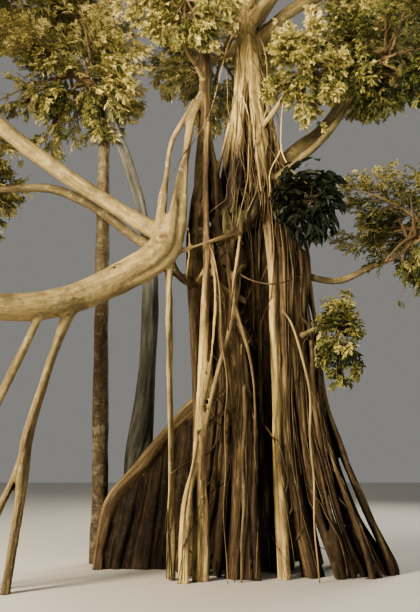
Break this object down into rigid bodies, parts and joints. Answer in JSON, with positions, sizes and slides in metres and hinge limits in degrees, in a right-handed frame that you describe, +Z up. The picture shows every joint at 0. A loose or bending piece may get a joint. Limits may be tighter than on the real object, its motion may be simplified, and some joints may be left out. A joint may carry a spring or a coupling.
{
  "type": "strangler fig tree",
  "caption": "Strangler fig with a trunk of fused roots, low spreading boughs on prop roots, and an open leafy crown, rooted in level ground.",
  "frame": {"origin": "on the flat cut under the trunk at ground level, in front of the middle of the trunk", "axes": "+Z up, +X to the right and +Y away from the viewer in the pictured view"},
  "size_m": [14.2272, 11.9867, 14.148],
  "materials": {
    "bark": "rough",
    "shaded_bark": "rough",
    "leaves": "satin"
  },
  "bodies": {
    "root": {"trunk": "bark", "fork_left": "bark", "bough_left_low": "bark", "bough_left_low_end": "bark", "bough_left_high": "bark", "bough_left_rear": "shaded_bark", "stem_rear": "shaded_bark", "crown_bough_left": "bark", "crown_bough_front_left": "bark", "crown_bough_top": "bark", "crown_bough_front": "bark", "crown_bough_front_right": "bark", "crown_bough_right": "bark", "crown_bough_back": "bark", "bough_right_rear": "bark", "bough_right_high": "bark", "bough_right_low": "bark", "prop_left_inner": "bark", "prop_left_outer": "bark", "prop_fork": "bark", "pillar": "shaded_bark", "foliage_crown_top": "leaves", "foliage_crown_front": "leaves", "foliage_crown_front_right": "leaves", "foliage_crown_right": "leaves", "foliage_crown_back_right": "leaves", "foliage_crown_back": "leaves", "foliage_crown_left_rear": "leaves", "foliage_crown_front_left": "leaves", "foliage_left_high": "leaves", "foliage_left_low": "leaves", "foliage_left_rear": "leaves", "foliage_left_inner": "leaves", "foliage_right_inner": "leaves", "foliage_right_low": "leaves", "foliage_shade": "leaves", "foliage_sprouts": "leaves", "foliage_front_left": "leaves", "foliage_front_right": "leaves"}
  },
  "joints": []
}
